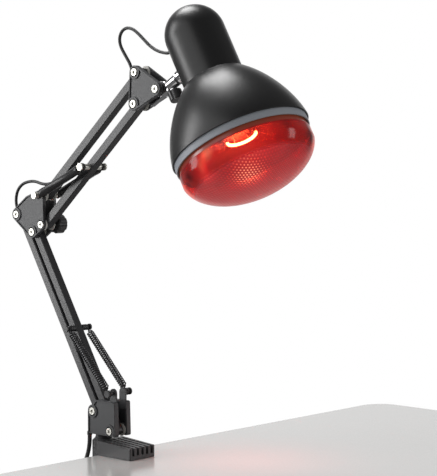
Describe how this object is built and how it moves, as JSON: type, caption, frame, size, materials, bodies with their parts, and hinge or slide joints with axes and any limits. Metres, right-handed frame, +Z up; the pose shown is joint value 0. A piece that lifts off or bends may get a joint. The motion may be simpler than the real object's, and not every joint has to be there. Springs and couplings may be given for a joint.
{
  "type": "infrared heat therapy lamp",
  "caption": "Clamp-on infrared heat lamp: sprung two-stage parallelogram arm, tilting and swivelling bell shade with a red reflector bulb, cord with a rocker switch and a plug.",
  "frame": {"origin": "On the underside of the clamp's upper jaw, where it rests on the table top, straight below the axis of the arm's post.", "axes": "+Z up along the post's axis; +X from the post out over the jaw, the way the arm carries the head; +Y to the far side, along the arm's pivot bolts."},
  "size_m": [0.3657, 0.126, 0.6542],
  "materials": {
    "clamp_metal": "satin black paint on a cast clamp",
    "arm_metal": "satin black paint on square steel tube",
    "bracket_plastic": "fine-grained dark grey moulding",
    "shade_metal": "satin black paint on spun aluminium",
    "ring_grey": "blue-grey satin ring",
    "chrome": "bright chrome plate",
    "zinc": "zinc-plated steel",
    "spring_steel": "blackened spring wire",
    "sleeve_plastic": "smooth black sleeve over the spring",
    "knob_plastic": "black moulded knob",
    "nylon": "nylon bush",
    "cord_black": "black PVC lead",
    "grommet_rubber": "soft black grommet",
    "red_glass": "ruby glass with a stippled face",
    "mirror_glass": "ruby glass with a mirrored back",
    "cap_metal": "plain aluminium screw cap",
    "filament": "glowing tungsten coil",
    "ceramic": "glazed white porcelain",
    "brass": "plain brass contact",
    "switch_plastic": "black moulded case",
    "rocker_plastic": "black rocker, slightly glossier than the case",
    "pad_rubber": "black pad"
  },
  "bodies": {
    "clamp": {"clamp_frame": "clamp_metal", "post_bush": "nylon", "mains_cord": "cord_black", "cord_coil": "cord_black", "coil_tie": "cord_black", "switch_shell_front": "switch_plastic", "switch_shell_back": "switch_plastic", "plug_body": "switch_plastic", "plug_pins": "brass"},
    "rocker": {"switch_rocker": "rocker_plastic"},
    "pad": {"clamp_pad": "pad_rubber"},
    "screw": {"clamp_screw": "zinc", "clamp_knob": "knob_plastic"},
    "base": {"base_post": "zinc", "base_front_plate": "bracket_plastic", "base_back_plate": "bracket_plastic", "base_bolts": "zinc", "base_bushes": "nylon", "spring_studs": "zinc", "cord_grommet": "grommet_rubber", "base_lead": "cord_black"},
    "lower_left": {"lower_left_bar": "arm_metal", "lower_inner_cable": "cord_black"},
    "lower_right": {"lower_right_bar": "arm_metal", "lower_spring_pin": "zinc", "lower_spring_front": "spring_steel", "lower_spring_back": "spring_steel"},
    "elbow": {"elbow_front_plate": "bracket_plastic", "elbow_back_plate": "bracket_plastic", "elbow_bolts": "zinc", "elbow_bushes": "nylon", "elbow_spring_pin": "zinc", "elbow_cable": "cord_black"},
    "tension_knob": {"tension_knob": "knob_plastic"},
    "upper_bottom": {"upper_bottom_bar": "arm_metal", "upper_spring_pin": "zinc", "spring_sleeve_front": "sleeve_plastic", "spring_sleeve_back": "sleeve_plastic"},
    "upper_top": {"upper_top_bar": "arm_metal", "upper_inner_cable": "cord_black"},
    "head_bracket": {"head_front_plate": "bracket_plastic", "head_back_plate": "bracket_plastic", "head_bolts": "zinc", "head_bushes": "nylon", "head_cable": "cord_black"},
    "knuckle": {"head_knuckle": "chrome"},
    "head_knob": {"head_knob": "knob_plastic"},
    "head": {"head_stem": "chrome", "socket_cover": "shade_metal", "shade": "shade_metal", "shade_ring": "ring_grey", "lamp_holder": "ceramic", "holder_contacts": "brass", "holder_band": "zinc", "bulb_lens": "red_glass", "bulb_reflector": "mirror_glass", "bulb_cap": "cap_metal", "bulb_filament": "filament", "lead_grommet": "grommet_rubber", "lamp_lead": "cord_black"}
  },
  "joints": [
    {"name": "base_swivel", "type": "hinge", "parent": "clamp", "child": "base", "pos_m": [0, 0, 0], "axis": [0, 0, 1], "range_deg": [-175, 175]},
    {"name": "lower_arm", "type": "hinge", "parent": "base", "child": "lower_left", "pos_m": [-0.0042, 0, 0.039], "axis": [0, 1, 0], "range_deg": [-4, 60], "deforming": ["base_lead", "lower_spring_front", "lower_spring_back", "elbow_cable"]},
    {"name": "lower_link", "type": "hinge", "parent": "base", "child": "lower_right", "pos_m": [0.01905, 0, 0.02235], "axis": [0, 1, 0], "range_deg": [-4, 60], "deforming": ["lower_spring_front", "lower_spring_back"]},
    {"name": "elbow_level", "type": "hinge", "parent": "lower_left", "child": "elbow", "pos_m": [-0.1157, 0, 0.22166], "axis": [0, 1, 0], "range_deg": [-60, 4], "deforming": ["elbow_cable"]},
    {"name": "upper_arm", "type": "hinge", "parent": "elbow", "child": "upper_top", "pos_m": [-0.07761, 0, 0.24114], "axis": [0, 1, 0], "range_deg": [-28, 60], "deforming": ["spring_sleeve_front", "spring_sleeve_back", "elbow_cable", "head_cable"]},
    {"name": "upper_link", "type": "hinge", "parent": "elbow", "child": "upper_bottom", "pos_m": [-0.079, 0, 0.21258], "axis": [0, 1, 0], "range_deg": [-28, 60], "deforming": ["spring_sleeve_front", "spring_sleeve_back", "elbow_cable", "head_cable"]},
    {"name": "head_level", "type": "hinge", "parent": "upper_top", "child": "head_bracket", "pos_m": [0.05306, 0, 0.35513], "axis": [0, 1, 0], "range_deg": [-60, 28], "deforming": ["head_cable"]},
    {"name": "head_tilt", "type": "hinge", "parent": "head_bracket", "child": "knuckle", "pos_m": [0.07989, 0, 0.3394], "axis": [0, 1, 0], "range_deg": [-40, 50], "deforming": ["head_cable"]},
    {"name": "head_swivel", "type": "hinge", "parent": "knuckle", "child": "head", "pos_m": [0.08107, 0, 0.33731], "axis": [0.8695, 0, 0.4939], "range_deg": [-90, 90], "deforming": ["head_cable"]},
    {"name": "head_knob_turn", "type": "hinge", "parent": "knuckle", "child": "head_knob", "pos_m": [0.09116, 0, 0.34304], "axis": [0.4939, 0, -0.8695], "range_deg": [-30, 360]},
    {"name": "tension_knob_turn", "type": "hinge", "parent": "elbow", "child": "tension_knob", "pos_m": [-0.079, 0, 0.21258], "axis": [0, 1, 0], "range_deg": [-30, 360]},
    {"name": "clamp_travel", "type": "slide", "parent": "clamp", "child": "pad", "axis": [0, 0, 1], "range_m": [-0.0215, 0.0245]},
    {"name": "clamp_screw_turn", "type": "hinge", "parent": "pad", "child": "screw", "pos_m": [0.034, 0, -0.06], "axis": [0, 0, 1], "continuous": true},
    {"name": "switch_rock", "type": "hinge", "parent": "clamp", "child": "rocker", "pos_m": [-0.0319, 0.025, -0.1405], "axis": [0, 1, 0], "range_deg": [-12, 0]}
  ],
  "couplings": [
    {"joint": "lower_link", "follows": "lower_arm", "ratio": 1},
    {"joint": "elbow_level", "follows": "lower_arm", "ratio": -1},
    {"joint": "upper_link", "follows": "upper_arm", "ratio": 1},
    {"joint": "head_level", "follows": "upper_arm", "ratio": -1},
    {"joint": "clamp_screw_turn", "follows": "clamp_travel", "rad_per_m": 3141.6}
  ]
}
